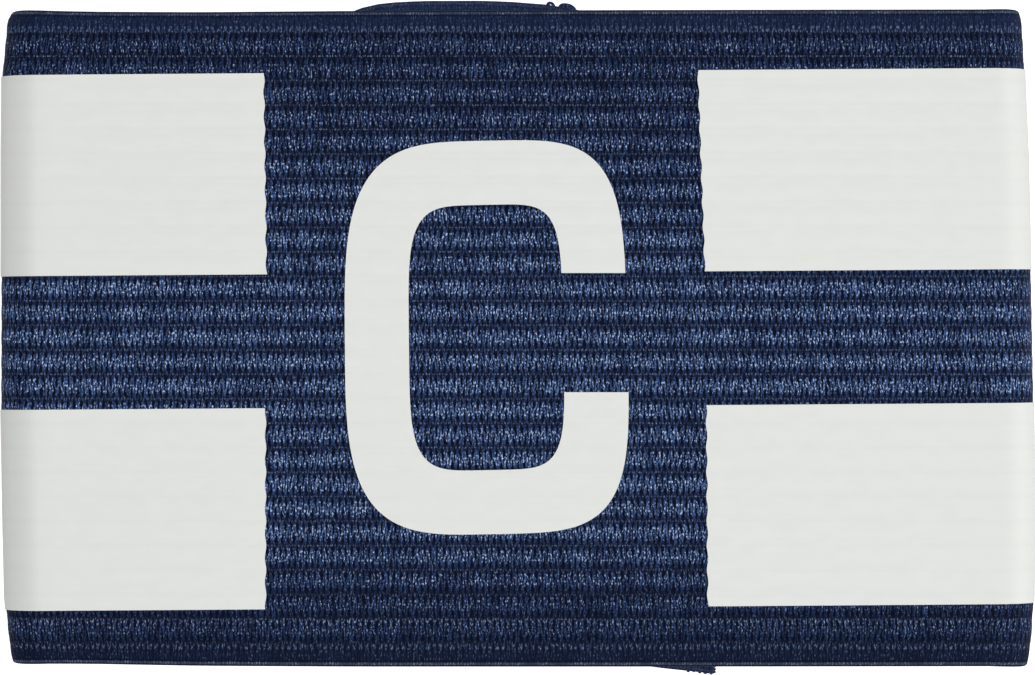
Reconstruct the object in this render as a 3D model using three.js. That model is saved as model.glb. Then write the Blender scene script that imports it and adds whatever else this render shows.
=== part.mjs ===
// A captain's armband: one strip of ribbed woven elastic, 8 cm wide, closed into a loop by a touch
// fastener and laid flat with its front up. White transfer film makes the letter on the front and
// four bars, which run round the two folds and end on the back.
// Millimetres. +X runs along the ribs, +Y across them, +Z up. The origin is on the surface that the
// armband lies on, under the middle of its box.
import * as THREE from "three";

// The strip of elastic, and the loop that it lies in.
const bandWidth = 80;
const flatLength = 127.7; // over the outsides of the two folds
const foldRadius = 5; // outside of each fold
const foldLift = 1; // how far a fold stands off the surface
const frontCrown = 0.3; // rise of the front between the folds
const edgeDrop = 0.4; // how far the front's two selvedges curl down
const backRise = 22.6; // length of back that rises from the surface to a fold
const coreThickness = 1; // the weave between two ribs
const ribHeight = 0.35;
const ribCount = 27;
const ribWidth = 2; // one rib, from foot to foot
const ribTop = 1.3; // the flat top of a rib

// The closure on the back: the tail lies outside, the under end inside, the fastener between them.
const tailEnd = 24.3; // where the tail is cut, from the middle towards +X
const underPast = 8; // how far the under end runs on past the fastener
const rampLength = 13; // run in which the under end climbs over the cut end of the tail
const rampClearance = 2.7; // from the cut end of the tail to the top of that climb
const fastenerLength = 19.4;
const fastenerMargin = 3; // from the fastener to either selvedge
const fastenerThickness = 1.6;
const fastenerInset = 0.5; // from the cut end of the tail to the fastener
const layerGap = 0.15; // between the fastener and the layer on either side

// The transfer film: two bars at each fold, and the letter between them.
const filmThickness = 0.25;
const filmGap = 0.1; // between the film and the ribs under it
const printMiddle = -3.85; // the letter's middle, from the middle of the front
const printTilt = 0.007; // how far the bars climb across the ribs, for each millimetre along them
const barToLetter = 9.75;
const barMiddle = -0.25; // middle between the bars, across the band
const barMargin = 7.15; // bare elastic between a bar and the selvedge
const barSpacing = 16.4; // bare elastic between the two bars
const barBackLength = 15.6; // from the outside of a fold to a bar's end on the back
const letterWidth = 34.6;
const letterHeight = 48.2;
const letterStroke = 7.85;
const letterAperture = 14.6; // between the two ends of the stroke
const letterTipMiddle = 0.6; // middle of that gap, above the letter's own middle
const letterOuterPowers = { left: 3.6, right: 4.2 }; // superellipse powers of its outside
const letterInnerPowers = { left: 4.6, right: 5.1 }; // and of its inside
const letterTilt = 0.02; // the letter is printed a little turned: how far it climbs along its width
const letterLean = -0.007; // and leans over its height
const letterArcSteps = 22; // straight steps in each curve of the letter

const foldSteps = 10; // straight steps in the half turn of a fold
const frontSteps = 8;
const rampSteps = 5;

const wall = coreThickness + ribHeight;
const halfWidth = bandWidth / 2;
const ribPitch = (bandWidth - ribWidth) / (ribCount - 1);
const foldCentre = flatLength / 2 - foldRadius;
const foldMidHeight = foldLift + foldRadius;
const innerRadius = foldRadius - wall;
const foldRun = Math.PI * (foldRadius - wall / 2); // length of strip in one fold
const stackHeight = wall + layerGap + fastenerThickness + layerGap;
const filmBase = wall + filmGap;
const restHalf = foldCentre - backRise; // half the length of back that lies flat
const fastenerFar = tailEnd - fastenerInset;
const fastenerNear = fastenerFar - fastenerLength;

// How far each fold draws in along X, as a share of flatLength, down the width of the band.
// across is the place on the width, from -1 at the lower selvedge to 1 at the upper one.
const foldOutline = [
  { across: -1, left: 0.0148, right: 0.0082 },
  { across: -0.98, left: 0.0119, right: 0.0063 },
  { across: -0.93, left: 0.0083, right: 0.0042 },
  { across: -0.8, left: 0.0043, right: 0.0018 },
  { across: -0.55, left: 0.0025, right: 0.0006 },
  { across: -0.2, left: 0.0006, right: 0.0022 },
  { across: 0.3, left: 0.001, right: 0.0053 },
  { across: 0.55, left: 0.001, right: 0.0072 },
  { across: 0.8, left: 0.0015, right: 0.0105 },
  { across: 0.93, left: 0.0055, right: 0.0128 },
  { across: 0.98, left: 0.008, right: 0.0148 },
  { across: 1, left: 0.0125, right: 0.0177 },
];
// How far the tail strays across the band, as a share of bandWidth, towards its cut end.
// along is the place on the tail, from 0 at the fold to 1 at the cut end.
const tailCourse = [
  { along: 0, stray: 0 },
  { along: 0.42, stray: 0 },
  { along: 0.47, stray: 0.012 },
  { along: 0.53, stray: 0.0215 },
  { along: 0.68, stray: 0.0215 },
  { along: 0.75, stray: 0.0155 },
  { along: 0.84, stray: 0 },
  { along: 0.92, stray: -0.0125 },
  { along: 1, stray: -0.0215 },
];
// How far the weave of the front leans along X at the upper selvedge, as a share of bandWidth.
// along is the place on the front, from -1 at the left fold to 1 at the right one.
const frontLean = [
  { along: -0.3, lean: 0 },
  { along: 0.2, lean: -0.0095 },
  { along: 0.5, lean: -0.0105 },
  { along: 1, lean: 0 },
];

// Reads one column of a table, straight between two rows.
function lookUp(table, key, column, at) {
  const last = table.length - 1;
  if (at <= table[0][key]) return table[0][column];
  if (at >= table[last][key]) return table[last][column];
  const next = table.findIndex((row) => row[key] > at);
  const from = table[next - 1];
  const to = table[next];
  const share = (at - from[key]) / (to[key] - from[key]);
  return from[column] + share * (to[column] - from[column]);
}

// Height of the inner face on the back, on the side of one fold: -1 is the tail, 1 the under end.
function backHeight(side, x) {
  const out = THREE.MathUtils.smoothstep(Math.abs(x), restHalf, foldCentre);
  const lying = wall + foldLift * out;
  if (side < 0) return lying;
  const rampTop = tailEnd + rampClearance;
  const climb = 1 - THREE.MathUtils.smoothstep(x, rampTop, rampTop + rampLength);
  return lying + stackHeight * climb;
}

// A point on the loop's inner face. run is the length along the strip from the middle of the front.
function loopPoint(run) {
  const side = Math.sign(run);
  const beyond = Math.abs(run) - foldCentre;
  if (beyond <= 0) {
    const crown = frontCrown * (1 - (run / foldCentre) ** 2);
    return new THREE.Vector2(run, foldMidHeight + innerRadius + crown);
  }
  if (beyond <= foldRun) {
    const turn = (beyond / foldRun) * Math.PI;
    const x = side * (foldCentre + innerRadius * Math.sin(turn));
    return new THREE.Vector2(x, foldMidHeight + innerRadius * Math.cos(turn));
  }
  const x = side * (foldCentre - (beyond - foldRun));
  return new THREE.Vector2(x, backHeight(side, x));
}

// Where a point of the flat strip lies in the loop: run along the strip, across it from the middle,
// and height above the inner face.
function place(run, across, height) {
  const step = 0.01;
  const at = loopPoint(run);
  const along = loopPoint(run + step).sub(loopPoint(run - step)).normalize();
  let x = at.x - along.y * height;
  let z = at.y + along.x * height;
  let y = across;
  const share = across / halfWidth;

  const side = Math.sign(x);
  const nearFold = THREE.MathUtils.smoothstep(Math.abs(x), foldCentre * 0.8, flatLength / 2);
  x -= side * nearFold * flatLength * lookUp(foldOutline, "across", side < 0 ? "left" : "right", share);

  const front = THREE.MathUtils.smoothstep(z, foldMidHeight, foldMidHeight + foldRadius);
  z -= front * edgeDrop * share ** 4;
  x += front * share * bandWidth * lookUp(frontLean, "along", "lean", run / foldCentre);

  const tailStart = foldCentre + foldRun;
  if (run < -tailStart) {
    const tailShare = (-run - tailStart) / (foldCentre + tailEnd);
    y += bandWidth * lookUp(tailCourse, "along", "stray", tailShare);
  }
  return new THREE.Vector3(x, y, z);
}

// Length along the strip of a place on the back, on the side of one fold.
const backRun = (side, x) => side * (foldCentre + foldRun + foldCentre - side * x);

// Places along the strip at which its wall bends.
function strip() {
  const runs = [];
  const rampTop = tailEnd + rampClearance;
  const tailPlaces = tailCourse.slice(2).map((row) => foldCentre - row.along * (foldCentre + tailEnd));
  for (const x of tailPlaces.reverse()) runs.push(backRun(-1, -x));
  for (const x of [-restHalf, -(restHalf + foldCentre) / 2]) runs.push(backRun(-1, x));
  for (let i = foldSteps; i >= 0; i--) runs.push(-foldCentre - (foldRun * i) / foldSteps);
  for (let i = 1; i < frontSteps; i++) runs.push(foldCentre * ((2 * i) / frontSteps - 1));
  for (let i = 0; i <= foldSteps; i++) runs.push(foldCentre + (foldRun * i) / foldSteps);
  for (let i = 0; i <= rampSteps; i++) runs.push(backRun(1, rampTop + rampLength * (1 - i / rampSteps)));
  runs.push(backRun(1, fastenerNear - underPast));
  return runs;
}
const stripRuns = strip();

// The places where the strip bends between two runs, and the two runs themselves.
function runsBetween(from, to) {
  const inside = stripRuns.filter((run) => run > from + 0.5 && run < to - 0.5);
  return [from, ...inside, to];
}

// A section of the flat strip, drawn across and up, run along the loop through the given places.
// tilt is how far it climbs across the strip, for each millimetre along it.
function wrapped(section, runs, tilt = 0) {
  const geometry = new THREE.ExtrudeGeometry(section, {
    depth: runs.length - 1,
    steps: runs.length - 1,
    bevelEnabled: false,
  });
  const points = geometry.getAttribute("position");
  for (let i = 0; i < points.count; i++) {
    const run = runs[Math.round(points.getZ(i))];
    const point = place(run, points.getX(i) + tilt * run, points.getY(i));
    points.setXYZ(i, point.x, point.y, point.z);
  }
  geometry.computeVertexNormals();
  return geometry;
}

// The middle of a rib, from the middle of the band. The binding rows lie half a pitch either side.
const ribMiddle = (rib) => (rib - (ribCount - 1) / 2) * ribPitch;

// Section of the elastic: a smooth inner face, two selvedges, and the ribs on the outer face.
function bandSection() {
  const outline = [new THREE.Vector2(-halfWidth, 0)];
  const innerRibs = [0, 1];
  for (let rib = 4; rib < ribCount - 3; rib += 4) innerRibs.push(rib);
  innerRibs.push(ribCount - 2, ribCount - 1);
  for (const rib of innerRibs) outline.push(new THREE.Vector2(ribMiddle(rib), 0));
  outline.push(new THREE.Vector2(halfWidth, 0));
  for (let rib = ribCount - 1; rib >= 0; rib--) {
    const upperFoot = Math.min(ribMiddle(rib) + ribPitch / 2, halfWidth);
    outline.push(new THREE.Vector2(upperFoot, coreThickness));
    outline.push(new THREE.Vector2(ribMiddle(rib) + ribTop / 2, wall));
    outline.push(new THREE.Vector2(ribMiddle(rib) - ribTop / 2, wall));
  }
  outline.push(new THREE.Vector2(-halfWidth, coreThickness));
  return new THREE.Shape(outline);
}

// Section of a flat layer between two places across the band and two heights, with a corner on
// every second rib, so that it follows the curl of the elastic.
function layerSection(low, high, base, top) {
  const places = [low];
  for (let rib = 1; rib < ribCount; rib += 2) {
    const across = ribMiddle(rib);
    if (across > low + ribPitch / 2 && across < high - ribPitch / 2) places.push(across);
  }
  places.push(high);
  const lower = places.map((across) => new THREE.Vector2(across, base));
  const upper = places.reverse().map((across) => new THREE.Vector2(across, top));
  return new THREE.Shape([...lower, ...upper]);
}

// The angle at which a superellipse reaches a height on its right-hand side.
const angleAtHeight = (height, halfY, power) => Math.asin((height / halfY) ** (power / 2));

// One side of the letter's stroke, a superellipse from the upper tip round the back to the lower tip.
function strokeSide(halfX, halfY, powers) {
  const rise = letterTilt * halfX;
  const upper = letterAperture / 2 + letterTipMiddle - rise;
  const lower = letterAperture / 2 - letterTipMiddle + rise;
  const start = angleAtHeight(upper, halfY, powers.right);
  const end = 2 * Math.PI - angleAtHeight(lower, halfY, powers.right);
  const points = [];
  for (let i = 0; i <= letterArcSteps; i++) {
    const angle = start + ((end - start) * i) / letterArcSteps;
    const c = Math.cos(angle);
    const s = Math.sin(angle);
    const power = c < 0 ? powers.left : powers.right;
    const x = halfX * Math.sign(c) * Math.abs(c) ** (2 / power);
    const y = halfY * Math.sign(s) * Math.abs(s) ** (2 / power);
    points.push(new THREE.Vector2(x + letterLean * y, y + letterTilt * x));
  }
  return points;
}

// The letter: a superelliptical ring with its right-hand side open.
function letterShape() {
  const halfX = letterWidth / 2;
  const halfY = letterHeight / 2;
  const outer = strokeSide(halfX, halfY, letterOuterPowers);
  const inner = strokeSide(halfX - letterStroke, halfY - letterStroke, letterInnerPowers);
  return new THREE.Shape([...outer, ...inner.reverse()]);
}

const elastic = new THREE.MeshStandardMaterial({ color: 0x1b2c55, roughness: 0.75, metalness: 0 });
const film = new THREE.MeshStandardMaterial({ color: 0xe2e3df, roughness: 0.55, metalness: 0 });
const hookTape = new THREE.MeshStandardMaterial({ color: 0x141d38, roughness: 0.9, metalness: 0 });

function named(name, geometry, material) {
  const mesh = new THREE.Mesh(geometry, material);
  mesh.name = name;
  return mesh;
}

function makeFastener() {
  const half = halfWidth - fastenerMargin;
  const section = layerSection(-half, half, -layerGap - fastenerThickness, -layerGap);
  const runs = runsBetween(backRun(-1, fastenerFar), backRun(-1, fastenerNear));
  return named("touch_fastener", wrapped(section, runs), hookTape);
}

// One bar, on the side of one fold and on the upper or lower half of the band.
function makeBar(side, level, name) {
  const near = barMiddle + (barSpacing / 2) * level;
  const far = barMiddle + (halfWidth - barMargin) * level;
  const section = layerSection(Math.min(near, far), Math.max(near, far), filmBase, filmBase + filmThickness);
  const frontEnd = printMiddle + side * (letterWidth / 2 + barToLetter);
  const backEnd = backRun(side, side * (flatLength / 2 - barBackLength));
  const runs = runsBetween(Math.min(frontEnd, backEnd), Math.max(frontEnd, backEnd));
  return named(name, wrapped(section, runs, printTilt), film);
}

function makeLetter() {
  const geometry = new THREE.ExtrudeGeometry(letterShape(), {
    depth: filmThickness,
    steps: 1,
    bevelEnabled: false,
  });
  const points = geometry.getAttribute("position");
  for (let i = 0; i < points.count; i++) {
    const run = printMiddle + points.getX(i);
    const point = place(run, points.getY(i), filmBase + points.getZ(i));
    points.setXYZ(i, point.x, point.y, point.z);
  }
  geometry.computeVertexNormals();
  return named("letter_c", geometry, film);
}

const armband = new THREE.Group();
armband.add(named("elastic_band", wrapped(bandSection(), stripRuns), elastic));
armband.add(makeFastener());
armband.add(makeBar(-1, 1, "bar_left_upper"));
armband.add(makeBar(-1, -1, "bar_left_lower"));
armband.add(makeBar(1, 1, "bar_right_upper"));
armband.add(makeBar(1, -1, "bar_right_lower"));
armband.add(makeLetter());

export default armband;
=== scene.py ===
import math

import bpy
import numpy as np
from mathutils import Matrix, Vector


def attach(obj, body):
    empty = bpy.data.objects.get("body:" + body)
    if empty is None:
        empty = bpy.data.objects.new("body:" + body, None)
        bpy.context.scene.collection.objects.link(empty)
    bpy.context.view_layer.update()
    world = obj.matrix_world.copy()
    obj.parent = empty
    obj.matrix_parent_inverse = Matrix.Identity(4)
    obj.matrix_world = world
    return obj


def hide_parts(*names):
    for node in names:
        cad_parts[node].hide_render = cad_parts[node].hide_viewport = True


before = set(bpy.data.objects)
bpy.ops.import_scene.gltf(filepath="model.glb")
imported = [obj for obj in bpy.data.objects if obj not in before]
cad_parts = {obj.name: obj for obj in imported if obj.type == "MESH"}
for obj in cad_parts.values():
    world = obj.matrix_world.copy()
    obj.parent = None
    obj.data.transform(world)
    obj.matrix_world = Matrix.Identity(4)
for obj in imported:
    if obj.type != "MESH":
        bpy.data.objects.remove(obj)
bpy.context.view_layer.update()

mm = 0.001

# The strip of elastic. Ribbed elastic woven in one length, 8 cm wide: 27 round ribs run along it, with a
# narrow binding row between each two. It is laid out flat here and then closed into the loop that it
# lies in: the front, the two folds, and two ends that overlap on the back.
band_width = 80 * mm
flat_length = 127.7 * mm
fold_radius = 5 * mm
fold_lift = 1 * mm
back_rise = 22.6 * mm
front_crown = 0.3 * mm
core_thickness = 1 * mm
rib_height = 0.35 * mm
rib_count = 27
rib_width = 2 * mm
tail_end = 24.3 * mm
ramp_length = 13 * mm
ramp_clearance = 2.7 * mm
fastener_length = 19.4 * mm
fastener_thickness = 1.6 * mm
fastener_inset = 0.5 * mm
layer_gap = 0.15 * mm
under_past = 8 * mm

wall = core_thickness + rib_height
half_width = band_width / 2
rib_pitch = (band_width - rib_width) / (rib_count - 1)
fold_centre = flat_length / 2 - fold_radius
fold_mid_height = fold_lift + fold_radius
inner_radius = fold_radius - wall
fold_run = math.pi * (fold_radius - wall / 2)
fold_end = fold_centre + fold_run
rest_half = fold_centre - back_rise
stack_height = wall + fastener_thickness + 2 * layer_gap
fastener_near = tail_end - fastener_inset - fastener_length

# How far each fold draws in along X, as a share of flat_length, from the lower selvedge to the upper.
# drawn_in_from is where that begins, as a share of the way from the middle to the fold.
drawn_in_from = 0.8
fold_outline = {
    "across": [-1, -0.992, -0.977, -0.955, -0.93, -0.8, -0.55, -0.2, 0.3, 0.55, 0.8, 0.93, 0.955, 0.977,
               0.992, 1],
    "left": [0.0128, 0.0118, 0.0106, 0.0094, 0.0082, 0.0043, 0.0025, 0.0006, 0.001, 0.001, 0.0015, 0.0055,
             0.0058, 0.0077, 0.0106, 0.0121],
    "right": [0.0072, 0.0069, 0.0058, 0.0044, 0.003, 0.0006, -0.0006, 0.001, 0.0041, 0.006, 0.0093, 0.0116,
              0.012, 0.0134, 0.0149, 0.0155],
}
# How far the front's selvedges roll down, in shares of the wall.
edge_roll = {
    "across": [-1, -0.94, -0.87, -0.8, -0.72, 0.8, 0.9, 1],
    "drop": [0.62, 0.36, 0.16, 0.04, 0, 0, 0.06, 0.26],
}
# How far the tail strays across the band, as a share of band_width, from the fold to its cut end.
tail_course = {
    "along": [0, 0.42, 0.45, 0.47, 0.5, 0.53, 0.57, 0.66, 0.7, 0.75, 0.79, 0.84, 0.88, 0.92, 1],
    "stray": [0, 0, 0.003, 0.0118, 0.019, 0.0222, 0.0238, 0.0240, 0.0222, 0.0182, 0.0115, 0.0005, -0.0084,
              -0.0140, -0.0230],
}
# How far the front leans along X at the upper selvedge, as a share of band_width.
front_lean = {"along": [-0.3, 0.2, 0.5, 1], "lean": [0, -0.0095, -0.009, 0]}
# How far the front's selvedges stand out beyond the ribs' even pitch, as a share of band_width.
# swell_from is where that begins, as a share of the half width.
swell_from = 0.93
selvedge_swell = {
    "along": [-1.12, -1.06, -1, -0.9, -0.66, -0.35, 0.25, 1, 1.06, 1.12],
    "upper": [0.0040, 0.0032, 0.0016, 0, -0.0008, 0.0010, 0.0024, 0.0036, 0.0050, 0.0056],
    "lower": [0.0032, 0.0024, 0.0012, 0.0012, 0.0042, 0.0053, 0.0053, 0.0049, 0.0066, 0.0078],
}
# The outer face across one rib: rise in shares of rib_height, by the distance from the rib's middle.
rib_relief = {
    "from_middle": [0, 0.13, 0.22, 0.3, 0.36, 0.42, 0.5],
    "rise": [1, 0.93, 0.7, 0.3, 0.04, 0.1, 0.3],
}
# How much of that the folds draw smooth, and for what share of a fold's run either way from its top.
fold_smoothing = 0.85
smoothest_within = 0.3


def smooth(value, low, high):
    """Eases from 0 to 1 while the value goes from low to high."""
    t = np.clip((value - low) / (high - low), 0, 1)
    return t * t * (3 - 2 * t)


def loop_line(run):
    """Where the inner face of the loop passes, by the length along the strip from the front's middle."""
    side = np.sign(run)
    beyond = np.abs(run) - fold_centre
    turn = np.clip(beyond / fold_run, 0, 1) * math.pi
    past = np.maximum(beyond - fold_run, 0)
    x = np.where(beyond < 0, run, side * (fold_centre + inner_radius * np.sin(turn) - past))
    crown = front_crown * (1 - np.clip(run / fold_centre, -1, 1) ** 2)
    z = fold_mid_height + inner_radius * np.cos(turn) + crown
    lying = wall + fold_lift * smooth(np.abs(x), rest_half, fold_centre)
    ramp_top = tail_end + ramp_clearance
    climb = (side > 0) * (1 - smooth(x, ramp_top, ramp_top + ramp_length))
    z = np.where(past > 0, lying + stack_height * climb, z)
    return x, z


def stand_off(run, height):
    """Points at a height above the inner face, square to the line of the loop."""
    step = 0.01 * mm
    x, z = loop_line(run)
    x_before, z_before = loop_line(run - step)
    x_after, z_after = loop_line(run + step)
    dx, dz = x_after - x_before, z_after - z_before
    reach = np.hypot(dx, dz)
    return x - dz / reach * height, z + dx / reach * height


def place(flat):
    """Points of the flat strip, as run, across and height above the inner face, taken into the loop."""
    run, across, height = flat.T
    x, z = stand_off(run, height)
    share = across / half_width

    near_fold = smooth(np.abs(x), fold_centre * drawn_in_from, flat_length / 2)
    left = np.interp(share, fold_outline["across"], fold_outline["left"])
    right = np.interp(share, fold_outline["across"], fold_outline["right"])
    x = x - near_fold * flat_length * np.where(x < 0, -left, right)

    front = smooth(z, fold_mid_height, fold_mid_height + fold_radius)
    z = z - front * wall * np.interp(share, edge_roll["across"], edge_roll["drop"])
    lean = np.interp(run / fold_centre, front_lean["along"], front_lean["lean"])
    x = x + front * share * band_width * lean

    tail = (-run - fold_end) / (fold_centre + tail_end)
    y = across + band_width * np.interp(tail, tail_course["along"], tail_course["stray"])
    upper = np.interp(run / fold_centre, selvedge_swell["along"], selvedge_swell["upper"])
    lower = np.interp(run / fold_centre, selvedge_swell["along"], selvedge_swell["lower"])
    swell = smooth(share, swell_from, 1) * upper - smooth(-share, swell_from, 1) * lower
    y = y + smooth(z, fold_mid_height - fold_radius / 2, fold_mid_height) * band_width * swell
    return np.stack([x, y, z], 1)


def corners(piece):
    """The places of a piece's corners, one row each."""
    points = np.empty(len(piece.data.vertices) * 3)
    piece.data.vertices.foreach_get("co", points)
    return points.reshape(-1, 3)


def close_into_loop(piece):
    """Takes a piece modelled on the flat strip into the loop. Its weave map keeps where it lay."""
    flat = corners(piece)
    mesh = piece.data
    while mesh.uv_layers:
        mesh.uv_layers.remove(mesh.uv_layers[0])
    weave = mesh.uv_layers.new(name="weave")
    owner = np.empty(len(mesh.loops), int)
    mesh.loops.foreach_get("vertex_index", owner)
    weave.data.foreach_set("uv", flat[owner, :2].ravel())
    mesh.vertices.foreach_set("co", place(flat).ravel())
    mesh.update()


def flat_layer(name, columns, rows):
    """A closed layer with corners at the given places along and across, one unit thick."""
    bpy.ops.object.select_all(action="DESELECT")
    bpy.ops.mesh.primitive_grid_add(x_subdivisions=len(columns) - 1, y_subdivisions=len(rows) - 1, size=2)
    layer = bpy.context.object
    layer.name = name
    bpy.ops.object.mode_set(mode="EDIT")
    bpy.ops.mesh.select_all(action="SELECT")
    bpy.ops.mesh.extrude_region_move(TRANSFORM_OT_translate={"value": (0, 0, 1)})
    bpy.ops.mesh.select_all(action="SELECT")
    bpy.ops.mesh.normals_make_consistent(inside=False)
    bpy.ops.object.mode_set(mode="OBJECT")
    points = corners(layer)
    points[:, 0] = columns[np.rint((points[:, 0] + 1) / 2 * (len(columns) - 1)).astype(int)]
    points[:, 1] = rows[np.rint((points[:, 1] + 1) / 2 * (len(rows) - 1)).astype(int)]
    layer.data.vertices.foreach_set("co", points.ravel())
    return layer


def rib_rise(run, across):
    """How far the outer face rises, from 0 in a groove to 1 on top of a rib. The folds draw it smooth."""
    ribs = across / rib_pitch + rib_count / 2
    from_middle = np.abs(ribs - np.floor(ribs) - 0.5)
    rise = np.interp(from_middle, rib_relief["from_middle"], rib_relief["rise"])
    from_fold_top = np.abs(np.abs(run) - fold_centre - fold_run / 2)
    drawn = fold_smoothing * smooth(-from_fold_top, -fold_run, -fold_run * smoothest_within)
    return rise + (1 - rise) * drawn


rows_in_rib = np.array([-0.5, -0.42, -0.36, -0.3, -0.22, -0.13, 0, 0.13, 0.22, 0.3, 0.36, 0.42])
rib_middles = (np.arange(rib_count) - (rib_count - 1) / 2) * rib_pitch
rib_rows = (rib_middles[:, None] + rows_in_rib * rib_pitch).ravel()
selvedge_rows = np.array([0.04, 0.14, 0.32]) * mm
selvedge_width = 0.8 * mm


def strip_rows():
    """Where the strip's rows of corners lie across it: few in a rib, and close together at a selvedge."""
    inside = rib_rows[np.abs(rib_rows) < half_width - selvedge_width]
    outside = half_width - selvedge_rows
    return np.concatenate([[-half_width], -outside, inside, outside[::-1], [half_width]])


under_cut = 2 * fold_centre + fold_run - (fastener_near - under_past)
tail_cut = -(2 * fold_centre + fold_run + tail_end)
strip_length = under_cut - tail_cut
strip_steps = {"tail": 40, "fold": 20, "front": 32, "under_end": 30}
strip_columns = np.concatenate([
    np.linspace(tail_cut, -fold_end, strip_steps["tail"], endpoint=False),
    np.linspace(-fold_end, -fold_centre, strip_steps["fold"], endpoint=False),
    np.linspace(-fold_centre, fold_centre, strip_steps["front"], endpoint=False),
    np.linspace(fold_centre, fold_end, strip_steps["fold"], endpoint=False),
    np.linspace(fold_end, under_cut, strip_steps["under_end"]),
])
selvedge_round = 0.32 * mm
selvedge_middle = 0.5 * mm
selvedge_thickness = 0.15
inner_relief = 0.12 * mm
strip_smooth_within = math.radians(60)

strip = flat_layer("elastic", strip_columns, strip_rows())
flat = corners(strip)
outer = flat[:, 2] > 0.5
rise = rib_rise(flat[:, 0], flat[:, 1])
from_selvedge = half_width - np.abs(flat[:, 1])
rounding = np.sqrt(1 - (1 - np.clip(from_selvedge / selvedge_round, 0, 1)) ** 2)
outer_height = core_thickness + rib_height * rise
inner_height = inner_relief * (1 - rise)
full_height = np.where(outer, outer_height, inner_height)
thickness_left = selvedge_thickness + (1 - selvedge_thickness) * rounding
flat[:, 2] = selvedge_middle + (full_height - selvedge_middle) * thickness_left
strip.data.vertices.foreach_set("co", flat.ravel())
close_into_loop(strip)
bpy.ops.object.shade_smooth_by_angle(angle=strip_smooth_within)


class Signal:
    """An output of a shader node. Sums written on it add the Math nodes that work them out."""

    def __init__(self, tree, socket=None):
        self.tree = tree
        self.socket = socket

    def node(self, kind, settings=None, inputs=None, output=0):
        """Adds a node of a kind. Its settings are set before its sockets are fed."""
        node = self.tree.nodes.new("ShaderNode" + kind)
        for name, value in (settings or {}).items():
            setattr(node, name, value)
        for name, value in (inputs or {}).items():
            if isinstance(value, Signal):
                self.tree.links.new(value.socket, node.inputs[name])
            else:
                node.inputs[name].default_value = value
        return Signal(self.tree, node.outputs[output])

    def math(self, operation, *others):
        values = dict(enumerate((self, *others)))
        return self.node("Math", {"operation": operation}, values)

    def __add__(self, other):
        return self.math("ADD", other)

    def __sub__(self, other):
        return self.math("SUBTRACT", other)

    def __mul__(self, other):
        return self.math("MULTIPLY", other)

    def __truediv__(self, other):
        return self.math("DIVIDE", other)

    def __pow__(self, other):
        return self.math("POWER", other)

    def __abs__(self):
        return self.math("ABSOLUTE")

    def __radd__(self, other):
        return self * 1 + other

    def __rmul__(self, other):
        return self * other

    def __rsub__(self, other):
        return self * -1 + other

    def floor(self):
        return self.math("FLOOR")

    def fraction(self):
        return self.math("FRACT")

    def least(self, other):
        return self.math("MINIMUM", other)

    def most(self, other):
        return self.math("MAXIMUM", other)

    def over(self, other):
        return self.math("GREATER_THAN", other)

    def span(self, low, high, start=0, end=1):
        """Eases from start to end while this goes from low to high."""
        settings = {"interpolation_type": "SMOOTHSTEP"}
        return self.node("MapRange", settings, {0: self, 1: low, 2: high, 3: start, 4: end})

    def blend(self, first, second):
        """A colour mixed from two, by this from 0 to 1."""
        return self.node("Mix", {"data_type": "RGBA"}, {0: self, 6: first, 7: second}, output=2)

    def point(self, *parts):
        return self.node("CombineXYZ", inputs=dict(enumerate(parts)))

    def noise(self, where, scale=1, detail=1, roughness=0.5):
        sockets = {"Vector": where, "Scale": scale, "Detail": detail, "Roughness": roughness}
        return self.node("TexNoise", inputs=sockets)

    def grain(self, run, across, fineness, **detail):
        """Soft noise on the strip, as fine as the first two numbers say. The third sets it apart."""
        along_grain, across_grain, apart = fineness
        return self.noise(self.point(run * along_grain, across * across_grain, apart), **detail)

    def bump(self, strength, distance, height):
        return self.node("Bump", inputs={"Strength": strength, "Distance": distance, "Height": height})

    def on_strip(self):
        """How far along and across the flat strip the surface lies, in millimetres."""
        where = self.node("UVMap", {"uv_map": "weave"})
        run = self.node("SeparateXYZ", inputs={0: where}) * (1 / mm)
        across = self.node("SeparateXYZ", inputs={0: where}, output=1) * (1 / mm)
        return run, across


def new_material(name):
    """A material, and a signal that adds nodes to it."""
    material = bpy.data.materials.new(name)
    material.use_nodes = True
    return material, Signal(material.node_tree)


def finish_surface(material, colour, roughness, normal=None, **steady):
    """Feeds a material's own surface shader. What is steady is set on its sockets."""
    surface = material.node_tree.nodes["Principled BSDF"]
    for name, value in {"Base Color": colour, "Roughness": roughness, "Normal": normal}.items():
        if isinstance(value, Signal):
            material.node_tree.links.new(value.socket, surface.inputs[name])
        elif value is not None:
            surface.inputs[name].default_value = value
    for name, value in steady.items():
        surface.inputs[name.replace("_", " ")].default_value = value


def wear(piece, material):
    piece.data.materials.clear()
    piece.data.materials.append(material)


# The weave, in millimetres on the strip. Two threads to each repeat lean apart down a rib and cross
# again in the binding row, so they lie in a zigzag. Short painted glints, painted highlights, lie on their
# filaments.
rib_step = rib_pitch / mm
thread_repeat = 0.739
thread_reach = 0.21
thread_apart = 0.25
thread_lean = 0.14
thread_sway = 1.1
thread_tremble = 0.5
binding_from = 0.36
second_apart = 0.37
sway_grain = (0.5, 0.35, 3)
tremble_grain = (2.6, 1.6, 9)
filament_grain = (10, 4.5, 1)
fleck_grain = (6.2, 2.8, 21)
cloud_grain = (0.5, 0.4, 5)
filament_detail = 0.7
fleck_detail = 0.6
thread_height = 0.08
filament_height = 0.04
elastic_bump = 0.5
elastic_roughness = 0.7
elastic_specular = 0.05
thread_dark = (0.0018, 0.0036, 0.0145, 1)
thread_navy = (0.0208, 0.0436, 0.1270, 1)
thread_light = (0.103, 0.184, 0.392, 1)
# The colour of the painted glints, the painted highlights of single filaments.
glint_blue = (0.46, 0.58, 0.82, 1)
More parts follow.
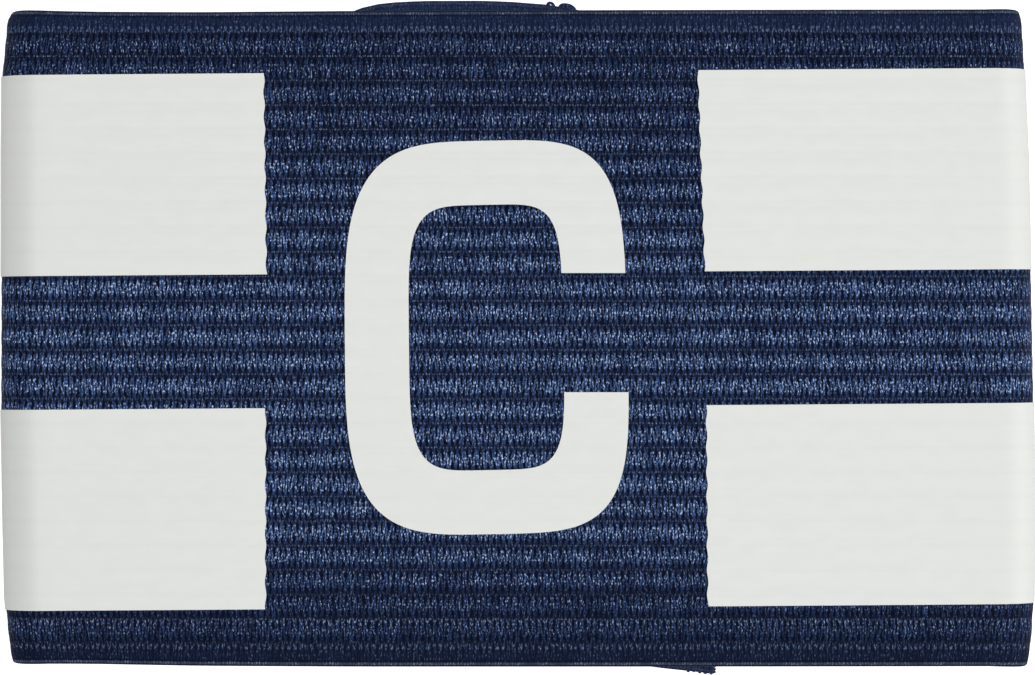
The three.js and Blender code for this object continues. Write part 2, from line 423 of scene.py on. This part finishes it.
binding_grey = (0.033, 0.037, 0.053, 1)
# Where the weave changes, in millimetres from the middle of the strip. Towards the selvedges the ribs get
# painted shade, as turned away from the light, the lower ribs get painted glints where their threads cross,
# their outermost one is painted dark and nearly plain, and the tail is flatter, with painted light on it.
lower_zone = (21, 35)
upper_zone = (8, 36)
crossing_glint_zone = (28, 36)
outermost_zone = (37.2, 37.8)
tail_zone = (100, 108)
# Where it changes within a rib, in shares of the ribs' pitch from the rib's middle: the painted crest
# highlight, the painted groove shade, the painted glints where threads cross, and the stitches.
crest_span = (0.4, 0.14)
groove_span = (0.28, 0.4)
crossing_begins = (0.24, 0.33)
crossing_ends = (0.49, 0.42)
stitch_span = (0.46, 0.485)
# And at a selvedge, in millimetres from the edge: its binding row and the bare rim outside it, which gets a
# painted highlight.
row_begins = (0.18, 0.28)
row_ends = (0.54, 0.44)
rim_highlight_span = (0.12, 0.02)
# How much painted shade dims the ribs towards a selvedge, and how far across a rib its painted crest
# highlight shifts.
dimming = {"lower": 0.78, "upper": 0.68, "top_rib": 0.1}
crest_shift = {"everywhere": 0.02, "lower": 0.12, "upper": 0.1}
# How far the outermost ribs are painted dark and plain, as painted shade.
plainness = 0.75
# How much blue each thing adds, where 0 is the dark thread and about 1 the lightest. The outermost ribs'
# tones are painted shade, and the crossings, the rim and the tail get painted light.
blue = {
    "least": 0.02, "chance": 0.42, "filament": 0.88, "stitch": 0.03, "top_rib": 0.11, "lowest_rib": 0.06,
    "crossing_glint": 0.08, "edge_row": 0.1, "edge_dash": 0.12, "rim": 0.2, "tail": 0.03,
}
# And how much painted glint: on the threads, the crests, the binding rows, the tail and the selvedge's
# dashes.
glint = {
    "thread": 0.12, "crest": 1.5, "faint": 0.2, "stitch": 0.02, "tail": 0.008, "tail_fleck": 0.05,
    "edge_row": 0.015, "edge_dash": 0.05, "edge_fleck": 0.4,
}


def thread_pattern(wire, run, across):
    """The lie of the threads: the place in a rib, the count of repeats, how round, and a chance for each."""
    ribs = across / rib_step + rib_count / 2
    rib = ribs.floor()
    in_rib = ribs.fraction() - 0.5
    from_middle = abs(in_rib)
    sway = wire.grain(run, across, sway_grain)
    tremble = wire.grain(run, across, tremble_grain)
    repeat = run / thread_repeat + (sway - 0.5) * thread_sway + (tremble - 0.5) * thread_tremble

    lean = (from_middle / binding_from).least((0.5 - from_middle) / (0.5 - binding_from))
    lean = lean * (in_rib.over(0) * 2 - 1)
    spread = thread_apart - lean * thread_lean
    off_first = 0.5 - abs((repeat - spread).fraction() - 0.5)
    off_second = 0.5 - abs((repeat + spread).fraction() - 0.5)
    roundness = (1 - (off_first.least(off_second) / thread_reach) ** 2).most(0)

    # Each thread has a number of its own, and the second ones lie between the first ones' numbers.
    on_second = off_first.over(off_second)
    first_number = (repeat - spread + 0.5).floor()
    second_number = (repeat + spread + 0.5).floor() + second_apart
    number = first_number + (second_number - first_number) * on_second
    chance = wire.node("TexWhiteNoise", {"noise_dimensions": "2D"},
                       {"Vector": wire.point(number, rib + on_second * 0.5, 0)})
    return in_rib, repeat, roundness, chance


def elastic_material():
    material, wire = new_material("woven_navy_elastic")
    run, across = wire.on_strip()
    in_rib, repeat, roundness, chance = thread_pattern(wire, run, across)
    from_middle = abs(in_rib)
    filament = wire.grain(run, across, filament_grain, roughness=filament_detail)
    fleck = wire.grain(run, across, fleck_grain, detail=fleck_detail)
    cloud = wire.grain(run, across, cloud_grain)

    lower_ribs = (across * -1).span(*lower_zone)
    upper_ribs = across.span(*upper_zone)
    top_rib = across.span(*outermost_zone)
    lowest_rib = (across * -1).span(*outermost_zone)
    # Painted shade: the outermost ribs darker and plain, without the painted glints.
    plain = (top_rib + lowest_rib) * plainness
    on_tail = (run * -1).span(*tail_zone)
    shifted = in_rib - crest_shift["everywhere"] - lower_ribs * crest_shift["lower"]
    turned = abs(shifted + upper_ribs * crest_shift["upper"])
    selvedge_shade = lower_ribs * dimming["lower"] + upper_ribs * dimming["upper"] + top_rib * dimming["top_rib"]
    crest = turned.span(*crest_span) * (1 - selvedge_shade)
    groove_shade = from_middle.span(*groove_span)
    # Painted glints where the threads cross at the binding row, on the lower ribs.
    crossing_glint = in_rib * ((across * -1).span(*crossing_glint_zone) - top_rib)
    crossing_glint = crossing_glint.span(*crossing_begins) * crossing_glint.span(*crossing_ends) * roundness
    stitch_row = from_middle.span(*stitch_span) * (1 - lower_ribs * 0.7)
    stitch = roundness.span(0.2, 0.9) * stitch_row

    # How much blue a thread shows: a painted highlight on a rib's crest, painted shade in a groove and
    # towards the selvedges, and changing at random along it.
    thread = roundness * (1 - groove_shade * 0.55) + groove_shade * 0.15
    lit = thread * (0.5 + 0.33 * crest - 0.26 * selvedge_shade)
    uneven = blue["least"] + chance * blue["chance"] + filament.span(0.34, 0.66) * blue["filament"]
    tone = lit * uneven * (0.5 + cloud) + stitch * blue["stitch"]
    tone = tone * (1 - plain) + top_rib * blue["top_rib"] + lowest_rib * blue["lowest_rib"]
    tone = tone + crossing_glint * blue["crossing_glint"]

    # The painted glints: short painted highlights on the crests, and fainter ones in the binding rows and
    # where threads cross.
    flash = fleck.span(0.55, 0.72) * filament.span(0.3, 0.6) * roundness.span(0.05, 0.6)
    flash = flash * (glint["thread"] + crest * glint["crest"]) * chance.span(0, 0.5, 0.45, 1.25)
    flash = flash * cloud.span(0.2, 0.6, 0.6, 1.15) * (1 - plain)
    faint = fleck.span(0.46, 0.66) * glint["faint"]
    flash = flash + stitch * (glint["stitch"] + faint) + crossing_glint * faint

    # The selvedges, each with a dashed binding row whose dashes get painted glints, darker within a
    # millimetre of the edge, with a painted highlight on the rim; and the tail, painted lighter, with fewer
    # glints and a faint painted sheen.
    from_edge = half_width / mm - abs(across)
    edge_row = from_edge.span(*row_begins) * from_edge.span(*row_ends) * (1 - on_tail * 0.6)
    dash = abs((repeat * 2).fraction() - 0.5).span(0.34, 0.16)
    tone = tone * (1 - from_edge.span(0.9, 0.5) * 0.4)
    tone = tone + edge_row * (blue["edge_row"] + dash * blue["edge_dash"])
    tone = (tone + from_edge.span(*rim_highlight_span) * blue["rim"]) * (1 + on_tail * 0.5) + on_tail * blue["tail"]
    flash = flash * from_edge.span(0.4, 0.8) * (1 - on_tail * 0.5)
    flash = flash + on_tail * (glint["tail"] + fleck.span(0.5, 0.68) * glint["tail_fleck"])
    dash_glint = glint["edge_dash"] + fleck.span(0.45, 0.68) * glint["edge_fleck"]
    flash = flash + edge_row * (glint["edge_row"] + dash * cloud.span(0.3, 0.7) * dash_glint)

    colour = tone.span(0, 0.42).blend(thread_dark, thread_navy)
    colour = tone.span(0.28, 1.2).blend(colour, thread_light)
    colour = (edge_row * cloud.span(0.3, 0.7, 0.5, 0.8)).blend(colour, binding_grey)
    colour = flash.least(1).blend(colour, glint_blue)
    height = roundness * thread_height * (0.4 + 0.6 * crest) + (filament - 0.5) * filament_height
    normal = wire.bump(elastic_bump, mm, height)
    finish_surface(material, colour, elastic_roughness, normal, Specular_IOR_Level=elastic_specular)
    return material


wear(strip, elastic_material())
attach(strip, "root")
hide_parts("elastic_band")

# The sewing. Navy thread wound over the tail's cut end, with a few wider turns round its corner on the
# lower selvedge, and three loose loops on the upper selvedge, where the touch fastener's seam begins.
end_thread_radius = 0.17 * mm
end_pitch = 0.36 * mm
end_past_edge = 0.24 * mm
end_looseness = 0.03 * mm
corner_thread_radius = 0.23 * mm
corner_turns = 5
corner_pitch = 0.717 * mm
corner_past_edge = -0.06 * mm
corner_start = -0.17 * mm
corner_looseness = 0.1 * mm
turn_reach = 1.3 * mm
turn_sink = 0.22 * mm
turn_slant = 0.14
turn_points = 12
loop_thread_radius = 0.2 * mm
loop_points = 18
loop_foot = 0.1 * mm
loop_rise = 0.25 * mm
loop_past_half = 0.25
loops = {
    "sewing_loop_first": {"start": 20.15 * mm, "width": 0.75 * mm, "reach": 0.4 * mm},
    "sewing_loop_second": {"start": 18.1 * mm, "width": 1.9 * mm, "reach": 0.5 * mm},
    "sewing_loop_third": {"start": 18.05 * mm, "width": 1.2 * mm, "reach": 0.22 * mm},
}
ply_fineness = 4200
ply_height = 0.1 * mm
sewing_bump = 0.5
sewing_roughness = 0.6
sewing_specular = 0.2
sewing_chance = np.random.default_rng(7)


def winding(count, pitch, past_edge, looseness):
    """A thread wound round an edge: how far along it, out from it and up through it each point lies."""
    turns = np.arange(0, count, 1 / turn_points)
    angle = (turns - 0.5) * 2 * math.pi
    along = (turns - turn_slant * np.sin(angle)) * pitch
    loose = sewing_chance.uniform(-0.5, 1, count)[turns.astype(int)] * looseness
    out = past_edge - turn_reach * (1 - np.cos(angle)) / 2 + np.maximum(np.cos(angle), 0) * loose
    height = wall / 2 + (wall / 2 - turn_sink) * np.sin(angle)
    return along, out, height


def loose_loop(start, width, reach):
    """An arch of thread that stands out from the upper selvedge of the tail."""
    turn = np.linspace(-loop_past_half, math.pi + loop_past_half, loop_points)
    run = tail_cut + start - width / 2 * np.cos(turn)
    across = half_width - loop_foot + reach * np.sin(turn)
    height = wall / 2 + loop_rise * np.cos(turn)
    return np.stack([run, across, height], 1)


def piece_from_line(name, points, closed, **settings):
    """A mesh made from a curve through points. The settings are the curve's own."""
    line = bpy.data.curves.new(name, "CURVE")
    for setting, value in settings.items():
        setattr(line, setting, value)
    spline = line.splines.new("POLY")
    spline.points.add(len(points) - 1)
    for spot, point in zip(spline.points, points):
        spot.co = (*point, 1)
    spline.use_cyclic_u = closed
    piece = bpy.data.objects.new(name, line)
    bpy.context.collection.objects.link(piece)
    bpy.ops.object.select_all(action="DESELECT")
    piece.select_set(True)
    bpy.context.view_layer.objects.active = piece
    bpy.ops.object.convert(target="MESH")
    return piece


def sew(name, radius, points):
    """Makes a thread through points on the flat strip and closes it into the loop with the strip."""
    thread = piece_from_line(name, points, False, dimensions="3D", bevel_depth=radius, bevel_resolution=1)
    close_into_loop(thread)
    bpy.ops.object.shade_smooth()
    wear(thread, sewing_thread)
    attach(thread, "root")
    return thread


def sewing_material():
    material, wire = new_material("navy_sewing_thread")
    plies = wire.noise(wire.node("UVMap", {"uv_map": "weave"}), ply_fineness)
    colour = plies.span(0.35, 0.55).blend(thread_dark, thread_navy)
    colour = plies.span(0.5, 0.8).blend(colour, thread_light)
    normal = wire.bump(sewing_bump, ply_height, plies)
    finish_surface(material, colour, sewing_roughness, normal, Specular_IOR_Level=sewing_specular)
    return material


sewing_thread = sewing_material()
along, out, height = winding(round(band_width / end_pitch), end_pitch, end_past_edge, end_looseness)
end_line = np.stack([tail_cut - out, along - half_width, height], 1)
along, out, height = winding(corner_turns, corner_pitch, corner_past_edge, corner_looseness)
corner_line = np.stack([tail_cut + corner_start + along, -half_width - out, height], 1)
sewing = [
    sew("sewing_end", end_thread_radius, end_line),
    sew("sewing_corner", corner_thread_radius, corner_line),
    *(sew(name, loop_thread_radius, loose_loop(**loop)) for name, loop in loops.items()),
]

# The touch fastener. A strip of hook tape and one of loop tape, pressed together between the two ends of
# the elastic. Only their brushed edges show, at the sides of the overlap.
tape_dark = (0.003, 0.005, 0.012, 1)
tape_pile = (0.02, 0.03, 0.065, 1)
pile_fineness = 3200
pile_height = 0.2 * mm
matting_fineness = 260
tape_bump = 0.8
tape_roughness = 0.9
tape_specular = 0.2


def hook_tape_material():
    material, wire = new_material("brushed_hook_tape")
    where = wire.node("TexCoord", output=3)
    pile = wire.noise(where, pile_fineness, 2)
    matting = wire.noise(where, matting_fineness)
    colour = (pile * 0.8 + matting * 0.3).span(0.3, 0.8).blend(tape_dark, tape_pile)
    normal = wire.bump(tape_bump, pile_height, pile)
    finish_surface(material, colour, tape_roughness, normal, Specular_IOR_Level=tape_specular)
    return material


wear(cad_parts["touch_fastener"], hook_tape_material())

# The bars. White transfer film pressed onto the ribs, two broad bars at each fold. The film starts beside
# the letter, runs round the fold and ends on the back, and shows the ribs under it faintly.
film_thickness = 0.12 * mm
film_sink = 0.03 * mm
film_sag = 0.05 * mm
film_margin = 0.1 * mm
film_smooth_within = math.radians(50)
print_middle = -3.85 * mm
print_tilt = 0.007
letter_width = 34.6 * mm
bar_to_letter = 9.75 * mm
bar_middle = -0.25 * mm
bar_margin = 7.15 * mm
bar_spacing = 16.4 * mm
bar_back_length = 15.6 * mm
bar_steps = {"end": 4, "front": 12, "fold": 22, "back": 8}
end_length = 1.2 * mm
end_ripple = 0.09 * mm
# The film's white, and its darker tone for the painted groove shade and the mottling.
film_white = (0.745, 0.75, 0.715, 1)
film_shade = (0.70, 0.708, 0.675, 1)
mottle_grain = (0.35, 0.8, 2)
fine_grain = (6, 6, 2)
print_grain = (2.7, 0.9, 7)
print_height = 0.02
grain_height = 0.008
film_bump = 0.35
film_roughness = 0.5
film_specular = 0.35


def press_film(piece):
    """Lays a flat piece of film, one unit thick, on the ribs of the strip."""
    flat = corners(piece)
    top = wall + film_thickness - film_sag * (1 - rib_rise(flat[:, 0], flat[:, 1]))
    flat[:, 2] = top - (flat[:, 2] < 0.5) * (film_thickness + film_sink)
    piece.data.vertices.foreach_set("co", flat.ravel())
    close_into_loop(piece)


def film_material():
    material, wire = new_material("white_transfer_film")
    run, across = wire.on_strip()
    in_rib = (across / rib_step + rib_count / 2).fraction() - 0.5
    groove_shade = abs(in_rib).span(0.3, 0.5)
    mottle = wire.grain(run, across, mottle_grain, detail=2)
    grain = wire.grain(run, across, fine_grain, detail=2)
    # Painted shade over the grooves under the film, with random mottling and grain.
    groove_shade_and_mottle = groove_shade * 0.25 + (mottle - 0.5) * 0.6 + (grain - 0.5) * 0.25
    colour = groove_shade_and_mottle.span(-0.4, 0.8).blend(film_white, film_shade)
    roughness = film_roughness + (mottle - 0.5) * 0.1
    thread_print = wire.grain(run, across, print_grain)
    normal = wire.bump(film_bump, mm, thread_print * print_height + grain * grain_height)
    finish_surface(material, colour, roughness, normal, Specular_IOR_Level=film_specular)
    return material


film = film_material()


def make_bar(side, level, node, shift, skew):
    """A bar at the left or right fold, upper or lower. Its inner end was cut a little off and askew."""
    front_end = print_middle + side * (letter_width / 2 + bar_to_letter) + shift
    back_end = side * (2 * fold_centre + fold_run - (flat_length / 2 - bar_back_length))
    end_from = front_end + side * end_length
    columns = np.sort(np.concatenate([
        np.linspace(front_end, end_from, bar_steps["end"], endpoint=False),
        np.linspace(end_from, side * fold_centre, bar_steps["front"], endpoint=False),
        np.linspace(side * fold_centre, side * fold_end, bar_steps["fold"], endpoint=False),
        np.linspace(side * fold_end, back_end, bar_steps["back"]),
    ]))
    near = bar_middle + level * bar_spacing / 2
    far = bar_middle + level * (half_width - bar_margin)
    low, high = min(near, far), max(near, far)
    inside = rib_rows[(rib_rows > low + film_margin) & (rib_rows < high - film_margin)]
    bar = flat_layer(node.replace("bar", "film"), columns, np.concatenate([[low], inside, [high]]))
    flat = corners(bar)
    near_end = 1 - np.clip(np.abs(flat[:, 0] - front_end) / end_length, 0, 1)
    flat[:, 1] += print_tilt * flat[:, 0]
    flat[:, 0] += side * near_end * end_ripple * np.cos(2 * math.pi * flat[:, 1] / rib_pitch)
    flat[:, 0] += near_end * skew * (flat[:, 1] - near)
    bar.data.vertices.foreach_set("co", flat.ravel())
    press_film(bar)
    bpy.ops.object.shade_smooth_by_angle(angle=film_smooth_within)
    wear(bar, film)
    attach(bar, "root")
    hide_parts(node)
    return bar


bars = [
    make_bar(-1, 1, "bar_left_upper", 0.15 * mm, -0.0135),
    make_bar(-1, -1, "bar_left_lower", 0.04 * mm, 0),
    make_bar(1, 1, "bar_right_upper", -0.1 * mm, -0.0165),
    make_bar(1, -1, "bar_right_lower", -0.22 * mm, 0.011),
]

# The letter. A plain block capital cut from the same film and pressed onto the ribs between the bars: a
# ring with its right-hand side open, with full round corners outside and tighter ones inside.
letter_height = 48.2 * mm
letter_stroke = 7.85 * mm
letter_aperture = 14.6 * mm
letter_tip_middle = 0.6 * mm
outer_powers = {"left": 3.6, "right": 4.2}
inner_powers = {"left": 4.6, "right": 5.1}
letter_tilt = 0.02
letter_lean = -0.007
curve_steps = 120
letter_column_step = 2.5 * mm
point_merge = 0.01 * mm
straight_within = math.radians(0.01)


def stroke_side(half_x, half_y, powers):
    """One side of the letter's stroke, from its upper tip round the back to its lower tip."""
    rise = letter_tilt * half_x
    upper = letter_aperture / 2 + letter_tip_middle - rise
    lower = letter_aperture / 2 - letter_tip_middle + rise
    start = math.asin((upper / half_y) ** (powers["right"] / 2))
    end = 2 * math.pi - math.asin((lower / half_y) ** (powers["right"] / 2))
    angle = np.linspace(start, end, curve_steps)
    cos, sin = np.cos(angle), np.sin(angle)
    power = np.where(cos < 0, powers["left"], powers["right"])
    x = half_x * np.sign(cos) * np.abs(cos) ** (2 / power)
    y = half_y * np.sign(sin) * np.abs(sin) ** (2 / power)
    return np.stack([print_middle + x + letter_lean * y, y + letter_tilt * x], 1)


def letter_outline():
    """The letter's closed outline, flat on the strip."""
    half_x, half_y = letter_width / 2, letter_height / 2
    outside = stroke_side(half_x, half_y, outer_powers)
    inside = stroke_side(half_x - letter_stroke, half_y - letter_stroke, inner_powers)
    outline = np.concatenate([outside, inside[::-1]])
    return np.column_stack([outline, np.zeros(len(outline))])


def make_letter():
    """The letter, cut across where the ribs' rows of corners lie, so that the film can follow them."""
    letter = piece_from_line("film_letter_c", letter_outline(), True, dimensions="2D", fill_mode="FRONT")
    bpy.ops.object.mode_set(mode="EDIT")
    bpy.ops.mesh.select_all(action="SELECT")
    bpy.ops.mesh.remove_doubles(threshold=point_merge)
    bpy.ops.mesh.dissolve_limited(angle_limit=straight_within)
    for across in rib_rows[np.abs(rib_rows) < letter_height / 2]:
        bpy.ops.mesh.select_all(action="SELECT")
        bpy.ops.mesh.bisect(plane_co=(0, across, 0), plane_no=(0, 1, 0))
    for run in np.arange(-letter_width / 2, letter_width / 2, letter_column_step):
        bpy.ops.mesh.select_all(action="SELECT")
        bpy.ops.mesh.bisect(plane_co=(print_middle + run, 0, 0), plane_no=(1, 0, 0))
    bpy.ops.mesh.select_all(action="SELECT")
    bpy.ops.mesh.extrude_region_move(TRANSFORM_OT_translate={"value": (0, 0, 1)})
    bpy.ops.mesh.select_all(action="SELECT")
    bpy.ops.mesh.normals_make_consistent(inside=False)
    bpy.ops.object.mode_set(mode="OBJECT")
    press_film(letter)
    bpy.ops.object.shade_smooth_by_angle(angle=film_smooth_within)
    wear(letter, film)
    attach(letter, "root")
    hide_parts("letter_c")
    return letter


letter = make_letter()

# The surface that the armband lies on, the studio's light and the camera above it. The surface is lit from
# within for the camera alone, which makes it as white as the photograph's without lighting the armband.
surface_size = 6
surface_white = (0.93, 0.93, 0.93, 1)
surface_roughness = 0.9
surface_specular = 0.1
surface_glow = 0.7
black, white = (0, 0, 0, 1), (1, 1, 1, 1)
key_spot = (60 * mm, -20 * mm, 1240 * mm)
key_size, key_power = 0.44, 8.3
side_spot = (1200 * mm, -120 * mm, 400 * mm)
side_size, side_power = 0.8, 5.2
room_colour = (0.95, 0.97, 1, 1)
room_strength = 0.37
front_height = fold_mid_height + fold_radius + front_crown
camera_height = 650 * mm
camera_clip = 50 * mm
view_width = 126.8 * mm
sensor_width = 36


def pale_surface():
    bpy.ops.object.select_all(action="DESELECT")
    bpy.ops.mesh.primitive_plane_add(size=surface_size)
    floor = bpy.context.object
    floor.name = "surface"
    material, wire = new_material("pale_surface")
    finish_surface(material, surface_white, surface_roughness, Specular_IOR_Level=surface_specular,
                   Emission_Strength=surface_glow)
    seen = wire.node("LightPath").blend(black, white)
    surface = material.node_tree.nodes["Principled BSDF"]
    material.node_tree.links.new(seen.socket, surface.inputs["Emission Color"])
    wear(floor, material)


def soft_light(name, spot, aim, size, power):
    bpy.ops.object.light_add(type="AREA", location=spot)
    lamp = bpy.context.object
    lamp.name = name
    lamp.data.shape = "DISK"
    lamp.data.size = size
    lamp.data.energy = power
    lamp.visible_camera = False
    away = lamp.location - aim
    lamp.rotation_euler = away.to_track_quat("Z", "Y").to_euler()


pale_surface()
middle = Vector((0, 0, front_height))
soft_light("key_light", key_spot, middle, key_size, key_power)
soft_light("side_light", side_spot, middle, side_size, side_power)

room = bpy.data.worlds.new("studio")
bpy.context.scene.world = room
room.use_nodes = True
room.node_tree.nodes["Background"].inputs["Color"].default_value = room_colour
room.node_tree.nodes["Background"].inputs["Strength"].default_value = room_strength
bpy.context.scene.view_settings.view_transform = "Standard"

bpy.ops.object.camera_add(location=(0, 0, front_height + camera_height), rotation=(0, 0, 0))
camera = bpy.context.object
camera.data.sensor_width = sensor_width
camera.data.lens = sensor_width * camera_height / view_width
camera.data.clip_start = camera_clip
bpy.context.scene.camera = camera
